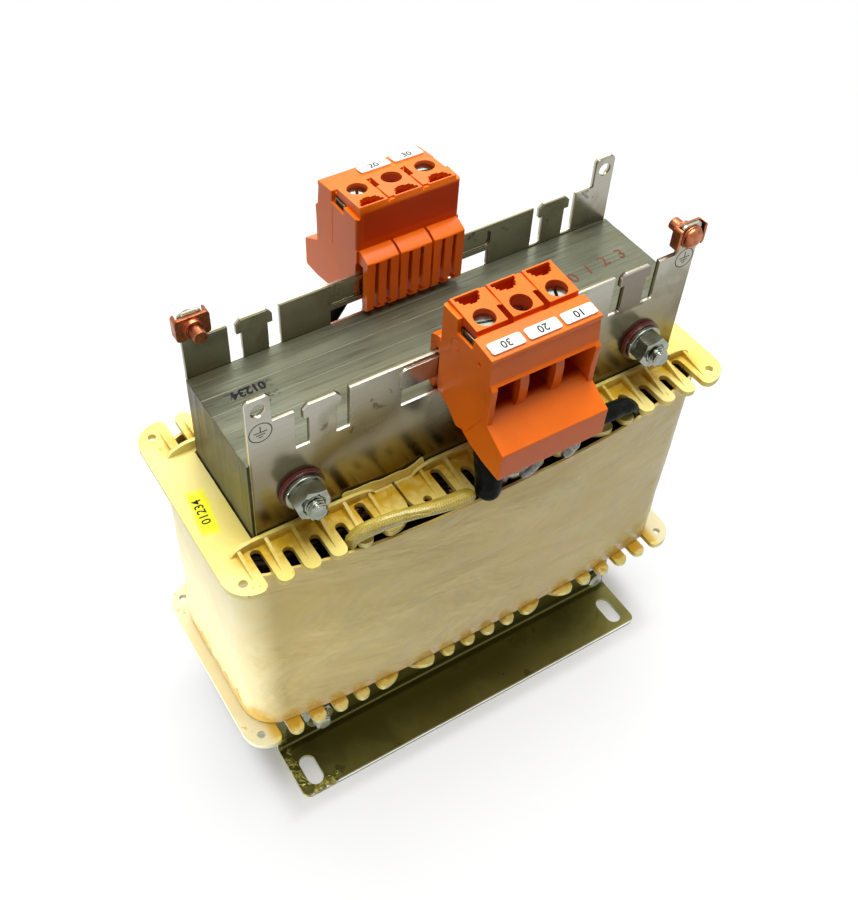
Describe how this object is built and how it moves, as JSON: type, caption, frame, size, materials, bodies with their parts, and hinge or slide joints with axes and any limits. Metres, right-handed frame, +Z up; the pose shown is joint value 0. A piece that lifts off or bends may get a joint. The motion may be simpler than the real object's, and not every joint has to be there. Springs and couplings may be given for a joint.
{
  "type": "three-phase line reactor",
  "caption": "Open laminated-core reactor with wound bobbins in a paper wrap, slotted feet, clip-on terminal blocks and earth clamps.",
  "frame": {"origin": "centre of the footprint, on the floor plane under the feet", "axes": "+X along the core, -Y is the front with the near terminal block, +Z up"},
  "size_m": [0.1792, 0.1056, 0.1933],
  "materials": {
    "lamination": "varnished steel laminations, satin, olive grey",
    "sheet": "varnished sheet steel, glossy",
    "bobbin": "moulded, satin, varnish-yellowed cream",
    "winding": "dark varnished turns",
    "wrap": "varnished insulating paper, satin",
    "zinc": "zinc plated",
    "insulator": "red-brown, glossy",
    "block": "moulded, orange, satin",
    "tag": "white, satin",
    "copper": "copper-flashed steel, satin",
    "sleeve": "varnished glass-fibre braid, yellow-olive",
    "black_sleeve": "black shrink tube",
    "clear_sleeve": "clear tube over a lead, glossy"
  },
  "bodies": {
    "root": {"core_legs_and_lower_yoke": "lamination", "core_upper_yoke": "lamination", "front_upper_plate": "sheet", "back_upper_plate": "sheet", "front_foot_bracket": "sheet", "back_foot_bracket": "sheet", "bobbin_left": "bobbin", "bobbin_middle": "bobbin", "bobbin_right": "bobbin", "winding_left": "winding", "winding_middle": "winding", "winding_right": "winding", "paper_wrap": "wrap", "upper_bolts": "zinc", "upper_nuts": "zinc", "upper_washers": "zinc", "insulating_washers": "insulator", "lower_bolts": "zinc", "lower_nuts": "zinc", "lower_washers": "zinc", "front_terminal_block": "block", "back_terminal_block": "block", "front_terminal_screws": "zinc", "back_terminal_screws": "zinc", "front_marker_tags": "tag", "back_marker_tags": "tag", "earth_clamp_right": "copper", "earth_clamp_left": "copper", "earth_screws": "copper", "front_sleeved_lead": "sleeve", "front_lead_boot": "black_sleeve", "front_middle_lead": "clear_sleeve", "front_black_lead": "black_sleeve", "back_sleeved_lead": "sleeve", "back_lead_boot": "black_sleeve", "back_middle_lead": "clear_sleeve", "back_black_lead": "black_sleeve"}
  },
  "joints": []
}
